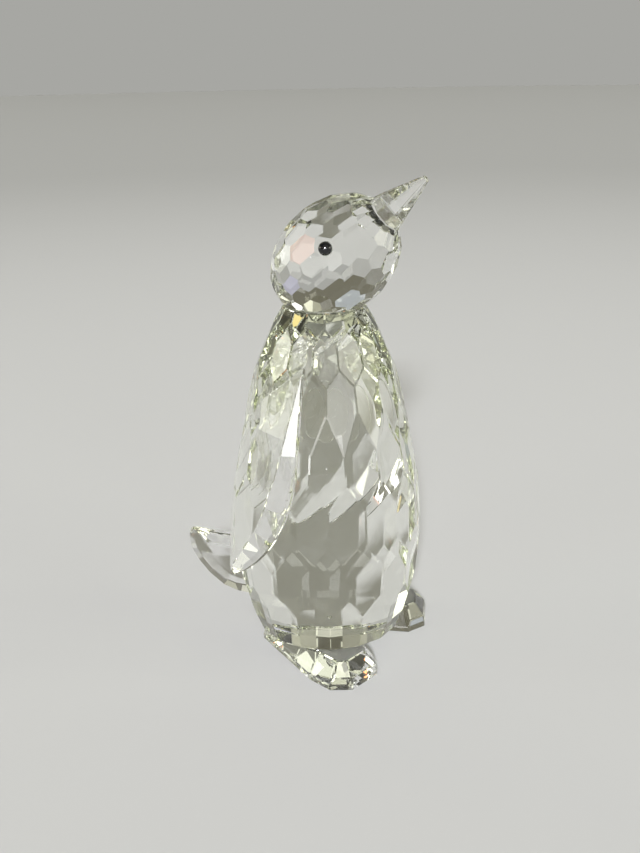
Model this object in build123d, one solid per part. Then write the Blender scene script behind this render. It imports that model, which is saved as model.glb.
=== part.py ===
"""A penguin figurine in cut lead crystal, standing on two feet with its beak raised.

Every clear piece is ground flat by flat, as a gem cutter does it: a block of crystal is held in
a dividing head, turned by equal steps, and each step grinds one flat. Rows of flats that are
half a step apart meet in a zigzag and make the long six-sided facets of the body and the head.
The pieces are bonded together with thin films of clear cement, which are solids here too.

Millimetres. The penguin looks along -Y, its left side is +X, and +Z is up. The pieces are made
round the upright axis of the body and then moved together, so that the origin lies on the
surface that the soles stand on, under the middle of the whole figurine.
"""
import os
from math import cos, radians, sin, tan

from build123d import *

# Cement and the dividing head
CEMENT = 0.1
STEPS_ROUND = 16
STEP = 360 / STEPS_ROUND
ON_STEP, HALF_STEP = 0.0, STEP / 2
AHEAD_BEARING, BACK_BEARING, RIGHT_BEARING = -90, 90, 180
GRINDING_STOCK = 1.0

# Body: the axis is upright, and the widest section is low down
SOLE_TO_BODY = 4.9
BODY_HEIGHT = 60.9
BODY_RADIUS = 17.0
# From the base up: height and radius of each section where two rows of flats meet
BODY_SECTION_SHARES = (
    (0.000, 0.762),
    (0.061, 0.851),
    (0.087, 0.879),
    (0.156, 0.944),
    (0.326, 1.000),
    (0.508, 0.960),
    (0.685, 0.843),
    (0.834, 0.703),
    (0.940, 0.541),
    (1.000, 0.420),
)
BODY_ROW_TURNS = (
    HALF_STEP, HALF_STEP, HALF_STEP, ON_STEP, HALF_STEP, ON_STEP, HALF_STEP, ON_STEP, HALF_STEP,
)
TAIL_ROW_INDEX = 3
WING_ROW_INDEX = 5

# Head: an egg whose long axis is the axis of the beak
HEAD_HALF_LENGTH = 12.65
HEAD_RADIUS = 9.65
HEAD_AHEAD = 2.2
HEAD_ABOVE_NECK = 8.2
BEAK_RISE = 40.6
# From the beak to the back of the head: angle on the egg of each section between two rows
HEAD_SECTION_ANGLES = (69.5, 50.0, 32.4, 10.6, -10.6, -32.4, -56.0, -76.0)
HEAD_ROW_TURNS = (HALF_STEP, ON_STEP, HALF_STEP, ON_STEP, HALF_STEP, ON_STEP, HALF_STEP)
NECK_CEMENT_RADIUS = 5.6
NECK_CEMENT_AHEAD = 0.2

# Beak: an eight-sided point with a row of short flats round its foot
BEAK_LENGTH = 9.2
BEAK_SIDE_COUNT = 8
BEAK_ROOT_RADIUS = 3.25
BEAK_SHOULDER = 1.4
BEAK_SHOULDER_RADIUS = 2.95
BEAK_TIP_RADIUS = 0.55
BEAK_CEMENT_RADIUS = 2.9

# Eyes: black glass beads in seats drilled with a ball-ended drill
EYE_RADIUS = 1.15
EYE_AHEAD = 3.6
EYE_OUT = 9.5
EYE_ANGLE = 7.0
POLE_OUTWARD = Rot(Y=90)

# Wings: flat-backed blades, each cemented to one facet of the body
WING_STEPS_BACK = 1
WING_LENGTH = 39.7
WING_WIDTH = 14.6
WING_RIM = 0.7
WING_THICKNESS = 3.5
WING_FRONT_LEAN = 32.0
WING_UPPER_BACK_LEAN = 7.5
WING_SHOULDER_LEAN = 10.0
WING_BACK_LEAN = 28.0
WING_INNER_BACK_RIM = 1.3
WING_INNER_BACK_LEAN = 12.0
WING_TIP_WIDTH = 1.5
WING_TIP_TURN = 45.0
# Blade outline: shares of the width forward of the seat, and of the length above it
WING_TOP_SHARES = (0.520, 0.441)
WING_FRONT_SHARES = (0.580, -0.050)
WING_FRONT_BULGE_SHARES = (0.356, -0.332)
WING_BOTTOM_SHARES = (-0.270, -0.557)
WING_BACK_SHARES = (-0.421, -0.277)
WING_SHOULDER_SHARES = (-0.394, 0.013)
WING_SHOULDER_BULGE_SHARES = (-0.301, 0.139)
WING_SHOULDER_END_SHARES = (-0.065, 0.267)
WING_CEMENT_HALF_WIDTH = 2.2
WING_CEMENT_HALF_LENGTH = 5.4

# Tail: half a leaf standing on edge behind the body
TAIL_TOP = 19.15
TAIL_LENGTH = 12.3
TAIL_DEPTH = 12.35
TAIL_THICKNESS = 4.4
TAIL_RIM = 0.9
TAIL_TOP_LEAN = 30.0
TAIL_STRIP_DROP = 2.0
TAIL_STRIP_LEAN = 16.0
TAIL_BELLY_LEAN = 34.0
# Belly of the tail up to its tip: shares of the length behind its seat, and of the depth
TAIL_BELLY_SHARES = (
    (0.190, 1.000),
    (0.450, 0.935),
    (0.700, 0.765),
    (0.890, 0.560),
    (1.010, 0.360),
    (1.045, 0.150),
    (1.000, 0.015),
)
TAIL_CEMENT_HALF_WIDTH = 1.4
TAIL_CEMENT_HALF_HEIGHT = 1.9
TAIL_CEMENT_DROP = 2.4

# Feet: thick soles with ground bevels, set splayed under the body
FOOT_LENGTH = 25.1
FOOT_WIDTH = 12.3
FOOT_RIM = 1.1
FOOT_TOE_RIM = 1.9
FOOT_SIDE_LEAN = 57.0
FOOT_TOE_LEAN = 55.0
FOOT_TOE_UNDERCUT_LEAN = 76.0
# Where each heel stands: shares of the body's radius to the left of its axis and behind it
RIGHT_HEEL_SHARES = (-0.230, 0.682)
RIGHT_SPLAY = 20.5
LEFT_HEEL_SHARES = (0.424, 0.535)
LEFT_SPLAY = 15.0
# Sole outline: shares of the length ahead of the heel, and of the width to one side
HEEL_SHARES = (0.000, 0.070)
BALL_SHARES = (0.680, 0.480)
WIDEST_SHARES = (0.880, 0.500)
TOE_SHARES = (1.000, 0.276)
FOOT_CEMENT_SHARES = (0.480, 0.000)
FOOT_CEMENT_HALF_LENGTH = 4.3
FOOT_CEMENT_HALF_WIDTH = 1.6


def grind(stone, point, outward):
    """Grind away all of the stone that lies beyond the flat through point facing outward."""
    return split(stone, bisect_by=Plane(origin=point, z_dir=outward), keep=Keep.BOTTOM)


def grind_row(stone, lower, upper, turn, steps=STEPS_ROUND):
    """Grind one row of flats round Z, each one touching the circles of its two sections."""
    (low_height, low_radius), (high_height, high_radius) = lower, upper
    rise, spread = high_height - low_height, low_radius - high_radius
    for count in range(steps):
        angle = radians(turn + count * 360 / steps)
        point = Vector(low_radius * cos(angle), low_radius * sin(angle), low_height)
        stone = grind(stone, point, Vector(rise * cos(angle), rise * sin(angle), spread))
    return stone


def grind_stone(sections, turns, steps=STEPS_ROUND):
    """A stone about Z whose rows of flats run between the given (height, radius) sections."""
    sections = sorted(sections)
    bottom, top = sections[0][0], sections[-1][0]
    width = 2 * max(radius for _, radius in sections) + GRINDING_STOCK
    block = Pos(Z=bottom) * Box(width, width, top - bottom, align=(Align.CENTER, Align.CENTER, Align.MIN))
    for lower, upper, turn in zip(sections, sections[1:], turns):
        block = grind_row(block, lower, upper, turn, steps)
    return block


def bevel_edge(stone, start, end, rim, lean):
    """Grind a bevel on a plate that lies on XY, up and inward from the rim along start to end.

    The plate's outline runs anticlockwise, and lean is the angle of the bevel over XY.
    """
    along = (Vector(*end, 0) - Vector(*start, 0)).normalized()
    outward = along.cross(Vector(0, 0, 1))
    slope = Vector(0, 0, 1) * cos(radians(lean)) + outward * sin(radians(lean))
    return grind(stone, Vector(*start, rim), slope)


def bevel_rim(stone, points, rim, lean):
    """Grind one bevel along each straight stretch between the points."""
    for start, end in zip(points, points[1:]):
        stone = bevel_edge(stone, start, end, rim, lean)
    return stone


def points_along(edge, stretches):
    """The points that divide an edge into equal stretches, as (x, y) pairs."""
    return [(point.X, point.Y) for point in (edge @ (n / stretches) for n in range(stretches + 1))]


def film(outline):
    """A film of cement of the given outline, lying on XY."""
    return extrude(outline, CEMENT)


def body_sections():
    """Height and radius of every section of the body, from the base up."""
    return [
        (SOLE_TO_BODY + height * BODY_HEIGHT, radius * BODY_RADIUS)
        for height, radius in BODY_SECTION_SHARES
    ]


def body_facet(row, angle):
    """Plane on a facet of the body: origin midway up it, Y up its slope, Z outward.

    The angle is the facet's bearing from +X, anticlockwise from above.
    """
    (low_height, low_radius), (high_height, high_radius) = body_sections()[row:row + 2]
    outward = Vector(cos(radians(angle)), sin(radians(angle)), 0)
    upward = outward * (high_radius - low_radius) + Vector(0, 0, high_height - low_height)
    middle = outward * (low_radius + high_radius) / 2 + Vector(0, 0, (low_height + high_height) / 2)
    across = upward.cross(outward)
    return Plane(origin=middle, x_dir=across, z_dir=across.cross(upward))


def on_plane(shares, width, height):
    """A point of an outline, from its shares of a width and a height."""
    return (shares[0] * width, shares[1] * height)


def make_body():
    return grind_stone(body_sections(), BODY_ROW_TURNS)


def neck_height():
    """Height of the ground flat on top of the body."""
    return SOLE_TO_BODY + BODY_HEIGHT


def head_place():
    """Where the head's centre and axis lie; along the axis its local Z points to the beak."""
    height = neck_height() + CEMENT + HEAD_ABOVE_NECK
    return Pos(0, -HEAD_AHEAD, height) * Rot(X=90 - BEAK_RISE)


def head_section(angle):
    """Distance along the head's axis and radius of the egg at an angle from its equator."""
    return (HEAD_HALF_LENGTH * sin(radians(angle)), HEAD_RADIUS * cos(radians(angle)))


def beak_seat():
    """Distance from the head's centre to the flat that the beak is cemented to."""
    return head_section(HEAD_SECTION_ANGLES[0])[0]


def eye_places():
    """Where the right and the left bead lie on the head; each one's local X points outward."""
    right = Pos(Z=EYE_AHEAD) * Rot(Z=RIGHT_BEARING - EYE_ANGLE) * Pos(X=EYE_OUT)
    left = Pos(Z=EYE_AHEAD) * Rot(Z=EYE_ANGLE) * Pos(X=EYE_OUT)
    return {"right": right, "left": left}


def make_head():
    """The head, its two beads, and the cement of the neck and the beads."""
    sections = [head_section(angle) for angle in HEAD_SECTION_ANGLES]
    stone = grind_stone(sections, tuple(reversed(HEAD_ROW_TURNS)))
    beads = {}
    for side, place in eye_places().items():
        drill = place * POLE_OUTWARD * Sphere(EYE_RADIUS + CEMENT)
        bead = place * POLE_OUTWARD * Sphere(EYE_RADIUS)
        beads[side + "_eye"] = head_place() * bead
        beads[side + "_eye_bond"] = head_place() * (stone & (drill - bead))
        stone = stone - drill
    seat = neck_height() + CEMENT
    head = grind(head_place() * stone, Vector(0, 0, seat), Vector(0, 0, -1))
    neck = Pos(0, -NECK_CEMENT_AHEAD, neck_height()) * film(Circle(NECK_CEMENT_RADIUS))
    return {"head": head, "neck_bond": neck, **beads}


def make_beak():
    """The beak and the cement behind it."""
    root = beak_seat() + CEMENT
    sections = [
        (root, BEAK_ROOT_RADIUS),
        (root + BEAK_SHOULDER, BEAK_SHOULDER_RADIUS),
        (root + BEAK_LENGTH, BEAK_TIP_RADIUS),
    ]
    beak = grind_stone(sections, (HALF_STEP, HALF_STEP), BEAK_SIDE_COUNT)
    cement = Pos(Z=beak_seat()) * film(Circle(BEAK_CEMENT_RADIUS))
    return {"beak": head_place() * beak, "beak_bond": head_place() * cement}


def wing_outline():
    """The blade's edges in order: front, lower front, tip, back, shoulder and upper back."""
    top, front, bulge, bottom, back, shoulder, shoulder_bulge, shoulder_end = (
        on_plane(shares, WING_WIDTH, WING_LENGTH)
        for shares in (
            WING_TOP_SHARES, WING_FRONT_SHARES, WING_FRONT_BULGE_SHARES, WING_BOTTOM_SHARES,
            WING_BACK_SHARES, WING_SHOULDER_SHARES, WING_SHOULDER_BULGE_SHARES,
            WING_SHOULDER_END_SHARES,
        )
    )
    turn = radians(WING_TIP_TURN)
    tip_end = (bottom[0] - WING_TIP_WIDTH * cos(turn), bottom[1] + WING_TIP_WIDTH * sin(turn))
    return {
        "upper_back": Line(top, shoulder_end),
        "shoulder": ThreePointArc(shoulder_end, shoulder_bulge, shoulder),
        "back": ThreePointArc(shoulder, back, tip_end),
        "tip": Line(tip_end, bottom),
        "lower_front": ThreePointArc(bottom, bulge, front),
        "front": Line(front, top),
    }


def make_right_wing():
    """The right wing and its cement, on the body's facet one step behind the side."""
    outline = wing_outline()
    blade = extrude(make_face(list(outline.values())), WING_THICKNESS)
    for name, stretches, lean in (
        ("upper_back", 1, WING_UPPER_BACK_LEAN),
        ("shoulder", 2, WING_SHOULDER_LEAN),
        ("back", 3, WING_BACK_LEAN),
        ("lower_front", 4, WING_FRONT_LEAN),
        ("front", 1, WING_FRONT_LEAN),
    ):
        blade = bevel_rim(blade, points_along(outline[name], stretches), WING_RIM, lean)
    back = points_along(outline["back"], 2)
    blade = bevel_rim(blade, back, WING_INNER_BACK_RIM, WING_INNER_BACK_LEAN)
    facet = body_facet(WING_ROW_INDEX, RIGHT_BEARING - WING_STEPS_BACK * STEP)
    cement = film(Ellipse(WING_CEMENT_HALF_WIDTH, WING_CEMENT_HALF_LENGTH))
    return {"right_wing": facet.offset(CEMENT) * blade, "right_wing_bond": facet * cement}


def make_tail():
    """The tail and its cement, on the middle facet at the back of the body."""
    facet = body_facet(TAIL_ROW_INDEX, BACK_BEARING)
    seat = facet.offset(CEMENT)

    def on_seat(height):
        """The point of the outline where the seat passes a height."""
        return (seat.origin.Y + (height - seat.origin.Z) * seat.y_dir.Y / seat.y_dir.Z, height)

    def behind_seat(shares):
        """A point of the outline, from its shares of the tail's length and depth."""
        return (on_seat(TAIL_TOP)[0] + shares[0] * TAIL_LENGTH, TAIL_TOP - shares[1] * TAIL_DEPTH)

    root, top = on_seat(TAIL_TOP - TAIL_DEPTH), on_seat(TAIL_TOP)
    belly = [root, *(behind_seat(shares) for shares in TAIL_BELLY_SHARES)]
    tip = belly[-1]
    half = extrude(make_face(Polyline(*belly, top, close=True)), TAIL_THICKNESS / 2)
    half = bevel_rim(half, belly, TAIL_RIM / 2, TAIL_BELLY_LEAN)
    half = bevel_edge(half, tip, top, TAIL_RIM / 2, TAIL_TOP_LEAN)
    steeper = tan(radians(TAIL_TOP_LEAN)) - tan(radians(TAIL_STRIP_LEAN))
    strip_rim = TAIL_RIM / 2 + TAIL_STRIP_DROP * steeper
    half = bevel_edge(half, tip, top, strip_rim, TAIL_STRIP_LEAN)
    middle = Plane(origin=(0, 0, 0), x_dir=(0, 1, 0), z_dir=(1, 0, 0))
    up_slope = (TAIL_TOP - TAIL_CEMENT_DROP - facet.origin.Z) / facet.y_dir.Z
    cement = Pos(Y=up_slope) * film(Ellipse(TAIL_CEMENT_HALF_WIDTH, TAIL_CEMENT_HALF_HEIGHT))
    return {"tail": middle * (half + mirror(half, about=Plane.XY)), "tail_bond": facet * cement}


def make_foot_stone():
    """One foot lying on XY with the middle of its heel at the origin and its toe along X."""
    side = [
        on_plane(shares, FOOT_LENGTH, FOOT_WIDTH)
        for shares in (HEEL_SHARES, BALL_SHARES, WIDEST_SHARES, TOE_SHARES)
    ]
    near_side = [(ahead, -out) for ahead, out in side]
    outline = [*near_side, *reversed(side)]
    foot = extrude(make_face(Polyline(*outline, close=True)), SOLE_TO_BODY - CEMENT)
    sides, toes = (outline[0:3], outline[5:8]), outline[2:6]
    for stretch in sides:
        foot = bevel_rim(foot, stretch, FOOT_RIM, FOOT_SIDE_LEAN)
    foot = bevel_rim(foot, toes, FOOT_TOE_RIM, FOOT_TOE_LEAN)
    foot = bevel_rim(foot, toes, FOOT_RIM, FOOT_TOE_UNDERCUT_LEAN)
    return bevel_edge(foot, outline[-1], outline[0], FOOT_TOE_RIM, FOOT_TOE_LEAN)


def make_feet():
    """Both feet and their cement, splayed under the base of the body."""
    foot = make_foot_stone()
    middle = on_plane(FOOT_CEMENT_SHARES, FOOT_LENGTH, FOOT_WIDTH)
    cement = Pos(*middle, SOLE_TO_BODY - CEMENT) * film(
        Ellipse(FOOT_CEMENT_HALF_LENGTH, FOOT_CEMENT_HALF_WIDTH)
    )
    right_heel = on_plane(RIGHT_HEEL_SHARES, BODY_RADIUS, BODY_RADIUS)
    left_heel = on_plane(LEFT_HEEL_SHARES, BODY_RADIUS, BODY_RADIUS)
    places = {
        "right_foot": Pos(*right_heel) * Rot(Z=AHEAD_BEARING - RIGHT_SPLAY),
        "left_foot": Pos(*left_heel) * Rot(Z=AHEAD_BEARING + LEFT_SPLAY),
    }
    feet = {name: place * foot for name, place in places.items()}
    return {**feet, **{name + "_bond": place * cement for name, place in places.items()}}


def make_wings():
    """Both wings with their cement: the left one is the right one's mirror image."""
    right = make_right_wing()
    left = {name.replace("right", "left"): mirror(piece, about=Plane.YZ) for name, piece in right.items()}
    return {**right, **left}


def over_origin(pieces):
    """The pieces moved together, level, so that the middle of the figurine is over the origin."""
    middle = Compound(list(pieces.values())).bounding_box().center()
    return {name: Pos(-middle.X, -middle.Y) * piece for name, piece in pieces.items()}


def build():
    """Every piece of the figurine, by the name of its node."""
    pieces = {
        "body": make_body(),
        **make_head(),
        **make_beak(),
        **make_wings(),
        **make_tail(),
        **make_feet(),
    }
    return over_origin(pieces)


if __name__ == "__main__":
    os.makedirs("parts", exist_ok=True)
    for name, solid in build().items():
        export_step(solid, os.path.join("parts", name + ".step"))
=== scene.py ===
"""The looks of a cut crystal penguin figurine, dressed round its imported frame.

Metres, in the row frame: the penguin looks along -Y, its left side is +X and +Z is up. Every stone
is a merged copy of its node with its sharp meetings taken off, every bead and film of cement is a
surface worked out with numpy from the node that it stands for, and all of them ride on the root.
"""

import logging
from dataclasses import dataclass
from enum import Enum
from math import cos, pi, radians, sin, tan

import bmesh
import bpy
import numpy as np
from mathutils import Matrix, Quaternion, Vector

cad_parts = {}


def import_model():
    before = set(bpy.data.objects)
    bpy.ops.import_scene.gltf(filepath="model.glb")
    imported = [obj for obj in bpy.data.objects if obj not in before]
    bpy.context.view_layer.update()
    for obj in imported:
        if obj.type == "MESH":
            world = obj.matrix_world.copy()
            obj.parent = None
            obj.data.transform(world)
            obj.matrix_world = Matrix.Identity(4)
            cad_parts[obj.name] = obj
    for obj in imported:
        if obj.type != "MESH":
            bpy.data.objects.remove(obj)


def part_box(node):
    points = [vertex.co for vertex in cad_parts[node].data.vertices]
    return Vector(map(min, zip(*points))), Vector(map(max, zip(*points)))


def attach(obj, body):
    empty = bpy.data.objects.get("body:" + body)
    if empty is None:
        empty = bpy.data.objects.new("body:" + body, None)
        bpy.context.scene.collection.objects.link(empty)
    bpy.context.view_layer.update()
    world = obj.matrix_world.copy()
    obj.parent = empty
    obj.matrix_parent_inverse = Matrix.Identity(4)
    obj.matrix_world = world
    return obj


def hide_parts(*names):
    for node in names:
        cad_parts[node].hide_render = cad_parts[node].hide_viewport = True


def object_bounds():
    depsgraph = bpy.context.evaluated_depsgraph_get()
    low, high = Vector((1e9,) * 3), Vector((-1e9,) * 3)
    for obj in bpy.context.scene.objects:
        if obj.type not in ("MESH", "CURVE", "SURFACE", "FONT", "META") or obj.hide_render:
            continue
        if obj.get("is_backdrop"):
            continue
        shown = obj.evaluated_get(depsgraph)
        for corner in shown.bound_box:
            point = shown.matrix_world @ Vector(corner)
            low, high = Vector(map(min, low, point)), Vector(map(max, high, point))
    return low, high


LOG = logging.getLogger("penguin")
MM = 0.001
BODY = "root"
# Sockets of a Mix node that is set to colours: its two inputs and its result
COLOUR_A = 6
COLOUR_B = 7
MIXED = 2


def linear(hex_colour: str) -> tuple[float, float, float, float]:
    """Turn an sRGB hex colour into linear values.

    A share up to 0.04045 is divided by 12.92. A larger one has 0.055 added, is divided by
    1.055 and is raised to the power of 2.4.

    Args:
        hex_colour: Six hex digits after a hash sign.

    Returns:
        Red, green, blue and an alpha of 1, linear.
    """
    shares = [int(hex_colour[start:start + 2], 16) / 255 for start in (1, 3, 5)]
    return (*(s / 12.92 if s <= 0.04045 else ((s + 0.055) / 1.055) ** 2.4 for s in shares), 1.0)


def add_node(
    tree: bpy.types.NodeTree,
    kind: str,
    values: dict[str | int, object] | None = None,
    **settings: object,
) -> bpy.types.Node:
    """Add one node with its settings, its input values and its links.

    Args:
        tree: The node tree that gets the node.
        kind: The node's type name.
        values: For each input, by name or number: a value, or an output socket to link from.
        **settings: The node's own settings.

    Returns:
        The new node.
    """
    node = tree.nodes.new(kind)
    for name, setting in settings.items():
        setattr(node, name, setting)
    for name, value in (values or {}).items():
        if isinstance(value, bpy.types.NodeSocket):
            tree.links.new(value, node.inputs[name])
        else:
            node.inputs[name].default_value = value
    return node


def new_material(name: str) -> tuple[bpy.types.Material, bpy.types.NodeTree]:
    """Make an empty node material.

    Args:
        name: The finish that it shows.

    Returns:
        The material and its cleared node tree.
    """
    material = bpy.data.materials.new(name)
    material.use_nodes = True
    material.node_tree.nodes.clear()
    return material, material.node_tree


def clear_of_dots(
    tree: bpy.types.NodeTree, place: bpy.types.NodeSocket, gap: float, dot: float
) -> bpy.types.NodeSocket:
    """Scatter small round dots through a material, one to a cell of a random pattern.

    Args:
        tree: The material's node tree.
        place: The coordinates, in metres.
        gap: The usual distance from dot to dot.
        dot: The radius of a dot.

    Returns:
        1 where the nearest middle of a cell is further off than the radius, 0 in a dot.
    """
    cells = add_node(tree, "ShaderNodeTexVoronoi", {"Vector": place, "Scale": 1 / gap})
    clear = add_node(tree, "ShaderNodeMath", {
        0: cells.outputs["Distance"], 1: dot / gap,
    }, operation="GREATER_THAN")
    return clear.outputs[0]


@dataclass(frozen=True)
class LeadCrystal:
    """Full lead crystal, ground flat by flat and polished on a cerium wheel: clear, bright, heavy.

    Its index is well over window glass, so flats show one another and the light, and a long way
    through it the eye sees a little straw colour. Polished flats are never quite flat, which bends
    what is seen through them a little, and a figurine on show gathers a few specks of dust.

    The waves are as long as a flat is wide. Specks of dust are a few hundredths of a millimetre
    across, and are drawn 0.14 mm across, because the render can't show finer ones.
    """

    name: str = "lead_crystal_polished"
    ior: float = 1.56
    roughness: float = 0.0
    straw: str = "#F2F7DE"
    depth_of_colour: float = 6.0
    wave: float = 5.0 * MM
    wave_height: float = 0.0002 * MM
    speck_gap: float = 3.4 * MM
    speck: float = 0.07 * MM

    def material(self) -> bpy.types.Material:
        """Make the material.

        Returns:
            Clear glass with faint waves in its polish, a few dust specks and a straw coloured depth.
        """
        material, tree = new_material(self.name)
        place = add_node(tree, "ShaderNodeTexCoord").outputs["Object"]
        wave = add_node(tree, "ShaderNodeTexNoise", {
            "Vector": place, "Scale": 1 / self.wave, "Detail": 1.0, "Roughness": 0.4,
        })
        bump = add_node(tree, "ShaderNodeBump", {
            "Strength": 1.0, "Distance": self.wave_height, "Height": wave.outputs["Fac"],
        })
        shader = add_node(tree, "ShaderNodeBsdfPrincipled", {
            "Base Color": linear("#FFFFFF"),
            "Roughness": self.roughness,
            "IOR": self.ior,
            "Transmission Weight": clear_of_dots(tree, place, self.speck_gap, self.speck),
            "Normal": bump.outputs["Normal"],
        })
        depth = add_node(tree, "ShaderNodeVolumeAbsorption", {
            "Color": linear(self.straw), "Density": self.depth_of_colour,
        })
        add_node(tree, "ShaderNodeOutputMaterial", {
            "Surface": shader.outputs[0], "Volume": depth.outputs[0],
        })
        return material


@dataclass(frozen=True)
class BlackGlass:
    """Opaque black glass, fire polished: a small bead with hard, bright reflections.

    A drawn bead keeps faint swirls, about a quarter of its width from one to the next.
    """

    name: str = "black_glass_fire_polished"
    colour: str = "#060607"
    grey: str = "#141416"
    ior: float = 1.52
    roughness: float = 0.03
    swirl: float = 0.6 * MM

    def material(self) -> bpy.types.Material:
        """Make the material.

        Returns:
            Glossy black with a trace of swirls.
        """
        material, tree = new_material(self.name)
        place = add_node(tree, "ShaderNodeTexCoord").outputs["Object"]
        swirl = add_node(tree, "ShaderNodeTexNoise", {
            "Vector": place, "Scale": 1 / self.swirl, "Detail": 3.0, "Distortion": 1.5,
        })
        colour = add_node(tree, "ShaderNodeMix", {
            "Factor": swirl.outputs["Fac"],
            COLOUR_A: linear(self.colour),
            COLOUR_B: linear(self.grey),
        }, data_type="RGBA")
        shader = add_node(tree, "ShaderNodeBsdfPrincipled", {
            "Base Color": colour.outputs[MIXED], "Roughness": self.roughness, "IOR": self.ior,
        })
        add_node(tree, "ShaderNodeOutputMaterial", {"Surface": shader.outputs[0]})
        return material


@dataclass(frozen=True)
class ClearCement:
    """Acrylic glass cement cured under a lamp: water clear, so the stones look like one there.

    A little air stays in it as bubbles of a tenth of a millimetre, at their real size.
    """

    name: str = "clear_glass_cement"
    colour: str = "#FDFDFA"
    ior: float = 1.5
    bubble_gap: float = 0.7 * MM
    bubble: float = 0.05 * MM

    def material(self) -> bpy.types.Material:
        """Make the material.

        Returns:
            Clear film with a few tiny bubbles of trapped air.
        """
        material, tree = new_material(self.name)
        place = add_node(tree, "ShaderNodeTexCoord").outputs["Object"]
        shader = add_node(tree, "ShaderNodeBsdfPrincipled", {
            "Base Color": linear(self.colour),
            "Roughness": 0.0,
            "IOR": self.ior,
            "Transmission Weight": clear_of_dots(tree, place, self.bubble_gap, self.bubble),
        })
        add_node(tree, "ShaderNodeOutputMaterial", {"Surface": shader.outputs[0]})
        return material


@dataclass(frozen=True)
class PaintedFloor:
    """Matt emulsion on the studio's floor, pale under the object and a tone deeper far from it: a
    painted pool of light.

    A roller leaves a stipple of about 3 mm. It is drawn as a mottle twenty times as coarse,
    which reads as paint where the real stipple would read as noise round a small figurine.
    """

    name: str = "painted_floor_matt"
    colour: str = "#C8C8C7"
    # The far colour and the two distances paint a pool of light: paler near the object, darker far
    # off.
    painted_falloff_colour: str = "#A8A8A6"
    roughness: float = 0.85
    painted_pool_radius: float = 70 * MM
    painted_falloff_end: float = 950 * MM
    mottle: float = 0.03
    mottle_size: float = 60 * MM

    def material(self) -> bpy.types.Material:
        """Make the material.

        Returns:
            Matt paint with the faint mottle that a roller leaves, graded darker by the distance out as
            a painted falloff of light.
        """
        material, tree = new_material(self.name)
        place = add_node(tree, "ShaderNodeTexCoord").outputs["Object"]
        out = add_node(tree, "ShaderNodeVectorMath", {0: place}, operation="LENGTH")
        # Painted falloff of light: the floor darkens from the object outward, as a lamp's falloff
        # would darken it.
        painted_falloff = add_node(tree, "ShaderNodeMapRange", {
            "Value": out.outputs["Value"], "From Min": self.painted_pool_radius, "From Max": self.painted_falloff_end,
        }, interpolation_type="SMOOTHSTEP")
        mottle = add_node(tree, "ShaderNodeTexNoise", {
            "Vector": place, "Scale": 1 / self.mottle_size, "Detail": 2.0,
        })
        share = add_node(tree, "ShaderNodeMath", {
            0: mottle.outputs["Fac"], 1: self.mottle, 2: painted_falloff.outputs[0],
        }, operation="MULTIPLY_ADD")
        colour = add_node(tree, "ShaderNodeMix", {
            "Factor": share.outputs[0],
            COLOUR_A: linear(self.colour),
            COLOUR_B: linear(self.painted_falloff_colour),
        }, data_type="RGBA")
        shader = add_node(tree, "ShaderNodeBsdfPrincipled", {
            "Base Color": colour.outputs[MIXED], "Roughness": self.roughness,
        })
        add_node(tree, "ShaderNodeOutputMaterial", {"Surface": shader.outputs[0]})
        return material


class Finish(Enum):
    """The object's finishes, each with the record's material slot that it belongs to."""

    CRYSTAL = ("crystal", LeadCrystal())
    BLACK_GLASS = ("black_glass", BlackGlass())
    CEMENT = ("clear_cement", ClearCement())

    @property
    def slot(self) -> str:
        """The record's material slot."""
        return self.value[0]

    @property
    def material(self) -> bpy.types.Material:
        """The finish's one material, made when it is first asked for."""
        surface = self.value[1]
        return bpy.data.materials.get(surface.name) or surface.material()


def node_points(node: str) -> np.ndarray:
    """The corners of a node's mesh.

    Args:
        node: The name of the node.

    Returns:
        One row of three coordinates for each corner, in metres.
    """
    mesh = bpy.data.objects[node].data
    flat = np.empty(len(mesh.vertices) * 3)
    mesh.vertices.foreach_get("co", flat)
    return flat.reshape(-1, 3)


def place_piece(mesh: bpy.types.Mesh, name: str, node: str, finish: Finish) -> bpy.types.Object:
    """Put a finished mesh in the scene in place of a node.

    Args:
        mesh: The piece's mesh, with its place in its corners.
        name: The piece's name.
        node: The node that the piece stands for.
        finish: What the piece is made of.

    Returns:
        The piece, riding on the one body.
    """
    mesh.materials.clear()
    mesh.materials.append(finish.material)
    piece = bpy.data.objects.new(name, mesh)
    bpy.context.scene.collection.objects.link(piece)
    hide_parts(node)
    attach(piece, BODY)
    return piece


def grid_mesh(name: str, grid: np.ndarray, top: np.ndarray, bottom: np.ndarray) -> bpy.types.Mesh:
    """Close a grid of rings into a skin with a pole at each end.

    Args:
        name: The mesh's name.
        grid: Rings by points by coordinates; each ring closes on itself.
        top: The pole before the first ring.
        bottom: The pole after the last ring.

    Returns:
        A closed mesh: quads between rings and a fan of triangles to each pole.
    """
    rings, count = grid.shape[:2]
    index = np.arange(rings * count).reshape(rings, count)
    onward = np.roll(index, -1, axis=1)
    quads = np.stack([index[:-1], index[1:], onward[1:], onward[:-1]], axis=-1).reshape(-1, 4)
    first, last = rings * count, rings * count + 1
    caps = [
        np.stack([np.full(count, first), index[0], onward[0]], axis=-1),
        np.stack([np.full(count, last), onward[-1], index[-1]], axis=-1),
    ]
    corners = np.concatenate([grid.reshape(-1, 3), top[None], bottom[None]])
    mesh = bpy.data.meshes.new(name)
    mesh.from_pydata(corners.tolist(), [], quads.tolist() + np.concatenate(caps).tolist())
    mesh.shade_smooth()
    return mesh


def face_outward(mesh: bpy.types.Mesh) -> None:
    """Turn all faces of a closed mesh outward.

    Args:
        mesh: The mesh, changed in place.
    """
    work = bmesh.new()
    work.from_mesh(mesh)
    bmesh.ops.recalc_face_normals(work, faces=work.faces)
    work.to_mesh(mesh)
    work.free()


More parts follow.
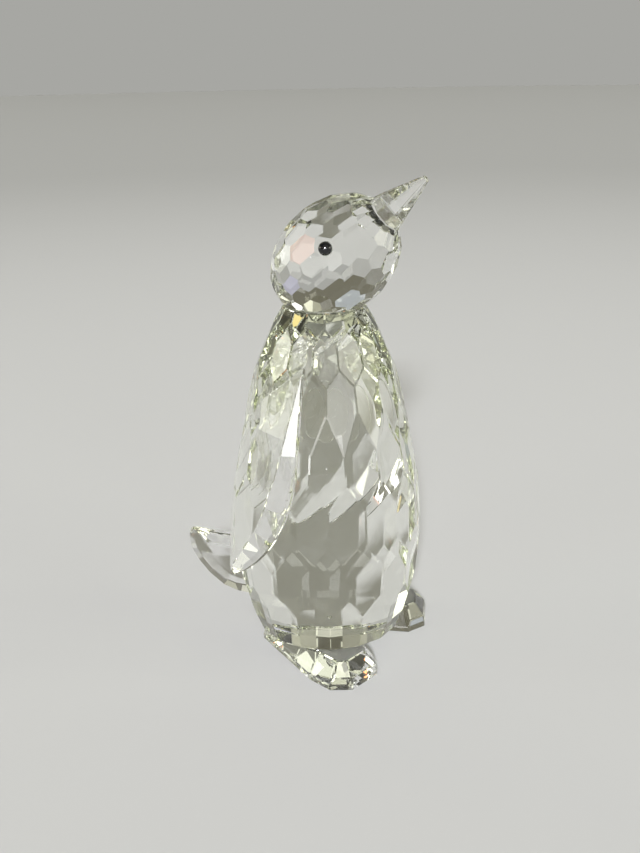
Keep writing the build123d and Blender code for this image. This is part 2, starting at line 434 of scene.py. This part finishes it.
def around(axis: Vector) -> np.ndarray:
    """Three unit vectors of which the last is the given axis.

    Args:
        axis: The direction that becomes the third row.

    Returns:
        The vectors as the rows of a 3 by 3 array.
    """
    turn = axis.to_track_quat("Z", "Y").to_matrix()
    return np.array(turn).T


@dataclass
class CutStone:
    """One facetted stone, with the sharp meetings of its flats taken off as polishing does.

    The grinding marks are gone, but every arris keeps a narrow polished strip, which draws the
    fine bright lines between the facets. The real strip is a few hundredths of a millimetre
    wide. It is drawn wider, because the render can't show a finer one.
    """

    node: str
    arris: float = 0.18 * MM
    flat_angle: float = 0.6
    arris_angle: float = 3.0
    weld: float = 0.0005 * MM

    def mesh(self) -> bpy.types.Mesh:
        """Merge the node's loose triangles and join those that lie in one flat.

        Returns:
            A closed mesh with one face for each flat.
        """
        work = bmesh.new()
        work.from_mesh(bpy.data.objects[self.node].data)
        bmesh.ops.remove_doubles(work, verts=work.verts, dist=self.weld)
        bmesh.ops.dissolve_limit(
            work, angle_limit=radians(self.flat_angle), verts=work.verts, edges=work.edges
        )
        mesh = bpy.data.meshes.new("cut_" + self.node)
        work.to_mesh(mesh)
        work.free()
        mesh.shade_flat()
        return mesh

    def dress(self) -> bpy.types.Object:
        """Put the stone in the scene.

        Returns:
            The piece, with its arrises as a bevel of one strip.
        """
        piece = place_piece(self.mesh(), "cut_" + self.node, self.node, Finish.CRYSTAL)
        bevel = piece.modifiers.new("arris", "BEVEL")
        bevel.width = self.arris
        bevel.segments = 1
        bevel.limit_method = "ANGLE"
        bevel.angle_limit = radians(self.arris_angle)
        return piece


@dataclass
class Bead:
    """One black glass bead of an eye, in the film of cement that fills its drilled seat."""

    side: str
    cement: float = 0.1 * MM
    overlap: float = 0.01 * MM
    seat_angle: float = 78.0
    rim_shares: tuple[float, ...] = (0.75, 0.5, 0.25)
    rings: int = 48
    points: int = 64

    def __post_init__(self) -> None:
        """Read the bead's centre, radius and the way into its seat from the frame."""
        low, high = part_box(self.side + "_eye")
        self.centre = np.array((low + high) / 2)
        self.radius = (high - low).x / 2
        inward = node_points(self.side + "_eye_bond").mean(axis=0) - self.centre
        self.frame = around(Vector(inward))

    def surface(self, radius: np.ndarray, angle: np.ndarray) -> np.ndarray:
        """Rings round the way into the seat.

        The point at an angle from that way and a turn round it is the centre plus the radius
        times (sine of angle times cosine of turn, sine times sine, cosine of angle).

        Args:
            radius: One radius for each ring.
            angle: One angle for each ring, in radians.

        Returns:
            Rings by points by coordinates.
        """
        turn = np.linspace(0, 2 * pi, self.points, endpoint=False)
        local = np.stack([
            np.outer(radius * np.sin(angle), np.cos(turn)),
            np.outer(radius * np.sin(angle), np.sin(turn)),
            np.outer(radius * np.cos(angle), np.ones_like(turn)),
        ], axis=-1)
        return self.centre + local @ self.frame

    def bead(self) -> bpy.types.Object:
        """The bead, a whole ball.

        Returns:
            The piece.
        """
        angle = np.linspace(0, pi, self.rings + 2)[1:-1]
        grid = self.surface(np.full(self.rings, self.radius), angle)
        way = self.frame[2] * self.radius
        mesh = grid_mesh(self.side + "_bead", grid, self.centre + way, self.centre - way)
        face_outward(mesh)
        return place_piece(mesh, self.side + "_bead", self.side + "_eye", Finish.BLACK_GLASS)

    def seat_film(self) -> bpy.types.Object:
        """The cement round the bead, a cup that reaches a little into bead and stone.

        Returns:
            The piece.
        """
        outer, inner = self.radius + self.cement + self.overlap, self.radius - self.overlap
        sweep = np.linspace(0, radians(self.seat_angle), self.rings // 2 + 1)[1:]
        rim = inner + (outer - inner) * np.array(self.rim_shares)
        radius = np.concatenate([np.full(len(sweep), outer), rim, np.full(len(sweep), inner)])
        angle = np.concatenate([sweep, np.full(len(rim), sweep[-1]), sweep[::-1]])
        way = self.frame[2]
        name = self.side + "_bead_cement"
        mesh = grid_mesh(
            name, self.surface(radius, angle), self.centre + way * outer, self.centre + way * inner
        )
        face_outward(mesh)
        return place_piece(mesh, name, self.side + "_eye_bond", Finish.CEMENT)


@dataclass
class CementFilm:
    """A film of clear cement squeezed between two flats, with the uneven edge that it cures to.

    Each of the waves of its edge is a count of waves round the film and a start in radians.
    """

    node: str
    overlap: float = 0.01 * MM
    unevenness: float = 0.035
    waves: tuple[tuple[int, float], ...] = ((3, 0.6), (5, 2.1))
    hollow: float = 0.5
    end_share: float = 0.5
    points: int = 96
    levels: int = 7

    def __post_init__(self) -> None:
        """Find the film's middle, its three directions and its half sizes from its node."""
        corners = node_points(self.node)
        mean = corners.mean(axis=0)
        _, _, self.frame = np.linalg.svd(corners - mean, full_matrices=False)
        along = (corners - mean) @ self.frame.T
        self.centre = mean + (along.min(axis=0) + along.max(axis=0)) / 2 @ self.frame
        self.half = np.ptp(along, axis=0) / 2

    def dress(self) -> bpy.types.Object:
        """Put the film in the scene.

        A ring at height h reaches out from the middle by the film's half sizes, times a share
        that dips by a parabola in h, as a meniscus does, and times an unevenness made of the
        waves round the film, each a sine. A smaller ring at each end leads in to the pole.

        Returns:
            The piece.
        """
        turn = np.linspace(0, 2 * pi, self.points, endpoint=False)
        wave = sum(np.sin(count * turn + start) / 2 for count, start in self.waves)
        uneven = 1 - self.unevenness * (1 + wave)
        long_half, short_half, deep_half = self.half
        height = np.linspace(1, -1, self.levels)
        dip = 1 - self.hollow * deep_half * (1 - height**2) / short_half
        share = np.concatenate([[self.end_share], dip, [self.end_share]])
        level = np.concatenate([[1], height, [-1]]) * (deep_half + self.overlap)
        local = np.stack([
            np.outer(share, long_half * uneven * np.cos(turn)),
            np.outer(share, short_half * uneven * np.sin(turn)),
            np.outer(level, np.ones_like(turn)),
        ], axis=-1)
        name = self.node.replace("bond", "cement")
        reach = self.frame[2] * (deep_half + self.overlap)
        mesh = grid_mesh(
            name, self.centre + local @ self.frame, self.centre + reach, self.centre - reach
        )
        face_outward(mesh)
        mesh.shade_flat()
        return place_piece(mesh, name, self.node, Finish.CEMENT)


@dataclass
class Head:
    """The egg-shaped head with its beak, its two beads and their cement."""

    stones: tuple[str, ...] = ("head", "beak")
    films: tuple[str, ...] = ("beak_bond",)
    sides: tuple[str, ...] = ("right", "left")

    def build(self) -> list[bpy.types.Object]:
        """Dress the head.

        Returns:
            Its pieces.
        """
        pieces = [CutStone(node).dress() for node in self.stones]
        pieces += [CementFilm(node).dress() for node in self.films]
        for side in self.sides:
            bead = Bead(side)
            pieces += [bead.bead(), bead.seat_film()]
        return pieces


@dataclass
class Trunk:
    """The tall body and its tail, with the cement of the neck and the tail."""

    stones: tuple[str, ...] = ("body", "tail")
    films: tuple[str, ...] = ("neck_bond", "tail_bond")

    def build(self) -> list[bpy.types.Object]:
        """Dress the trunk.

        Returns:
            Its pieces.
        """
        pieces = [CutStone(node).dress() for node in self.stones]
        return pieces + [CementFilm(node).dress() for node in self.films]


@dataclass
class Limbs:
    """The wings and the feet, a right and a left one of each, with their cement."""

    kinds: tuple[str, ...] = ("wing", "foot")
    sides: tuple[str, ...] = ("right", "left")

    def build(self) -> list[bpy.types.Object]:
        """Dress the wings and the feet.

        Returns:
            Their pieces.
        """
        limbs = [f"{side}_{kind}" for kind in self.kinds for side in self.sides]
        pieces = [CutStone(limb).dress() for limb in limbs]
        return pieces + [CementFilm(limb + "_bond").dress() for limb in limbs]


@dataclass
class Floor:
    """The studio's plain floor, a wide disc that ends near the horizon."""

    radius: float = 3.0
    points: int = 96
    sink: float = 0.05 * MM

    def build(self) -> bpy.types.Object:
        """Make the floor, a hair under the soles, so that the stones meet it through air.

        A point of its rim lies at the radius times the cosine and the sine of its turn.

        Returns:
            The floor, marked as no part of the object.
        """
        turn = np.linspace(0, 2 * pi, self.points, endpoint=False)
        corners = np.stack([
            self.radius * np.cos(turn), self.radius * np.sin(turn), np.full(self.points, -self.sink),
        ], axis=-1)
        mesh = bpy.data.meshes.new("floor")
        mesh.from_pydata(corners.tolist(), [], [list(range(self.points))])
        mesh.materials.append(PaintedFloor().material())
        floor = bpy.data.objects.new("floor", mesh)
        bpy.context.scene.collection.objects.link(floor)
        floor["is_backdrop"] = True
        return floor


@dataclass(frozen=True)
class Softbox:
    """A soft lamp, placed and sized by the angles that it spans as seen from the object.

    Its bearing, elevation, width and height are in degrees. It stands so far off that the floor
    round the object is lit evenly. Its power is its radiance times pi times its area.
    """

    name: str
    bearing: float
    elevation: float
    width: float
    height: float
    radiance: float
    colour: str
    distance: float = 30.0

    def build(self, target: Vector) -> bpy.types.Object:
        """Make the lamp.

        Args:
            target: The point that the lamp faces.

        Returns:
            The lamp.
        """
        lamp = bpy.data.lights.new(self.name, "AREA")
        lamp.shape = "RECTANGLE"
        lamp.size, lamp.size_y = (
            2 * self.distance * tan(radians(span) / 2) for span in (self.width, self.height)
        )
        lamp.energy = self.radiance * pi * lamp.size * lamp.size_y
        lamp.color = linear(self.colour)[:3]
        bearing, elevation = radians(self.bearing), radians(self.elevation)
        way = Vector((
            cos(bearing) * cos(elevation), sin(bearing) * cos(elevation), sin(elevation)
        ))
        box = bpy.data.objects.new(self.name, lamp)
        box.location = target + way * self.distance
        box.rotation_mode = "QUATERNION"
        box.rotation_quaternion = (-way).to_track_quat("-Z", "Y")
        bpy.context.scene.collection.objects.link(box)
        return box


@dataclass
class Studio:
    """A plain pale studio: the floor, soft lamps, and a room that dims from its horizon upward.

    Bearings are counted from +X, anticlockwise from above; the camera stands at 202.5 degrees.
    The four coloured kickers at the end give single facets the tints that the glass of the
    real figurine makes of white light, which the renderer's glass does not split.
    """

    lamps: tuple[Softbox, ...] = (
        Softbox("key_softbox", 198, 25.5, 5.7, 5.7, 515.0, "#F8F9FF"),
        Softbox("top_softbox", 179, 54, 19.0, 19.0, 1.0, "#FDFEEE"),
        Softbox("left_core", 112, 15, 8.5, 8.5, 6.5, "#FFFFEE"),
        Softbox("right_core", 287, 15, 8.5, 8.5, 13.0, "#FFFEEA"),
        Softbox("left_window", 98, 9, 37.0, 15.0, 2.4, "#F6F8E2"),
        Softbox("right_window", 281, 10, 37.0, 17.0, 2.6, "#F8F8DE"),
        Softbox("front_panel", 228, 14, 14.5, 12.5, 3.5, "#FFFFFF"),
        Softbox("breast_panel", 203, 33, 11.5, 8.5, 1.8, "#FFFFFF"),
        Softbox("foot_panel", 203, 39.5, 10.5, 5.0, 6.0, "#FEFEEC"),
        Softbox("right_panel", 254, 28, 8.5, 9.5, 4.0, "#FFFEF2"),
        Softbox("toe_panel", 222, 48, 24.0, 15.0, 0.75, "#FDFEEA"),
        Softbox("side_panel", 262, 45, 14.5, 17.0, 0.9, "#FDFDE6"),
        Softbox("high_side_panel", 235, 67, 16.5, 16.5, 0.8, "#FDFDE6"),
        Softbox("left_panel", 158, 27, 9.5, 10.5, 2.6, "#FFFFF6"),
        Softbox("low_strip", 205, 6, 41.0, 7.5, 5.0, "#FFFFFF"),
        Softbox("edge_strip", 177, 1, 14.5, 8.5, 10.0, "#FFFFFF"),
        Softbox("back_panel", 23, 36, 26.0, 10.5, 0.62, "#F8F8E2"),
        Softbox("back_left_panel", 54, 35, 36.0, 17.0, 0.28, "#F6F6DC"),
        Softbox("back_right_panel", 0, 33, 21.5, 21.5, 0.36, "#F6F6DA"),
        Softbox("high_panel", 16, 60, 37.0, 28.0, 0.45, "#F6F8DA"),
        Softbox("high_right_panel", 330, 51, 17.0, 17.0, 0.6, "#F6F8DA"),
        Softbox("salmon_kicker", 125, 17, 8.5, 8.5, 3.6, "#EE8A58"),
        Softbox("amber_kicker", 61, 50, 9.5, 9.5, 1.2, "#FFE9A0"),
        Softbox("blue_kicker", 47, 21, 14.0, 8.0, 0.42, "#D4E0F0"),
        Softbox("violet_kicker", 352, 8, 11.5, 9.5, 0.4, "#D9D9FF"),
    )
    horizon: str = "#A7A7A3"
    wall: str = "#6B6858"
    ceiling: str = "#403F3B"
    wall_from: tuple[float, float] = (0.04, 0.14)
    ceiling_from: tuple[float, float] = (0.45, 0.6)

    def build(self, target: Vector) -> None:
        """Make the studio.

        Args:
            target: The middle of the object, which the lamps face.
        """
        Floor().build()
        for lamp in self.lamps:
            lamp.build(target)
        bpy.context.scene.world = self.room()

    def room(self) -> bpy.types.World:
        """Make the room, whose colour goes by how far up one looks.

        Each colour blends into the next between two heights of a unit vector.

        Returns:
            The world.
        """
        world = bpy.data.worlds.new("room")
        world.use_nodes = True
        tree = world.node_tree
        tree.nodes.clear()
        way = add_node(tree, "ShaderNodeTexCoord").outputs["Generated"]
        rise = add_node(tree, "ShaderNodeSeparateXYZ", {0: way}).outputs["Z"]
        colour = linear(self.horizon)
        for upper, (low, high) in ((self.wall, self.wall_from), (self.ceiling, self.ceiling_from)):
            share = add_node(tree, "ShaderNodeMapRange", {
                "Value": rise, "From Min": low, "From Max": high,
            }, interpolation_type="SMOOTHSTEP")
            mix = add_node(tree, "ShaderNodeMix", {
                "Factor": share.outputs[0], COLOUR_A: colour, COLOUR_B: linear(upper),
            }, data_type="RGBA")
            colour = mix.outputs[MIXED]
        light = add_node(tree, "ShaderNodeBackground", {"Color": colour})
        add_node(tree, "ShaderNodeOutputWorld", {"Surface": light.outputs[0]})
        return world


@dataclass
class PhotoCamera:
    """The camera, where the photograph was taken from, as fitted to the object's outlines.

    Heading, pitch and roll are in degrees, and the lens is in millimetres.
    """

    location: tuple[float, float, float] = (-0.1727, -0.0754, 0.1080)
    heading: float = 22.5
    pitch: float = -19.15
    roll: float = 1.07
    lens: float = 46.0
    shift: float = 0.0022
    nearest: float = 10 * MM

    def build(self) -> bpy.types.Object:
        """Make the camera and look through it.

        Returns:
            The camera.
        """
        heading, pitch = radians(self.heading), radians(self.pitch)
        ahead = Vector((cos(heading) * cos(pitch), sin(heading) * cos(pitch), sin(pitch)))
        data = bpy.data.cameras.new("camera")
        data.lens = self.lens
        data.shift_x = self.shift
        data.dof.use_dof = False
        data.clip_start = self.nearest
        camera = bpy.data.objects.new("camera", data)
        camera.location = self.location
        camera.rotation_mode = "QUATERNION"
        level = ahead.to_track_quat("-Z", "Y")
        camera.rotation_quaternion = Quaternion(ahead, radians(self.roll)) @ level
        bpy.context.scene.collection.objects.link(camera)
        bpy.context.scene.camera = camera
        return camera


def set_light_paths(scene: bpy.types.Scene) -> None:
    """Let light turn often enough inside the stones, and keep the shadow that they cast deep.

    The clamp on indirect light stops what the stones focus from washing their shadow out.

    Args:
        scene: The scene that gets the settings.
    """
    scene.view_settings.view_transform = "Standard"
    scene.cycles.max_bounces = 64
    scene.cycles.transmission_bounces = 32
    scene.cycles.glossy_bounces = 48
    scene.cycles.sample_clamp_indirect = 2.5
    scene.cycles.use_denoising = True


def main() -> None:
    """Load the frame, dress every piece, and set the studio and the camera round them."""
    logging.basicConfig(level=logging.INFO, format="%(name)s: %(message)s")
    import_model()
    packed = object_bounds()
    for part in (Trunk(), Head(), Limbs()):
        for piece in part.build():
            LOG.info("%s: %s with %d faces", type(part).__name__, piece.name, len(piece.data.polygons))
    Studio().build((packed[0] + packed[1]) / 2)
    PhotoCamera().build()
    set_light_paths(bpy.context.scene)


if __name__ == "__main__":
    main()
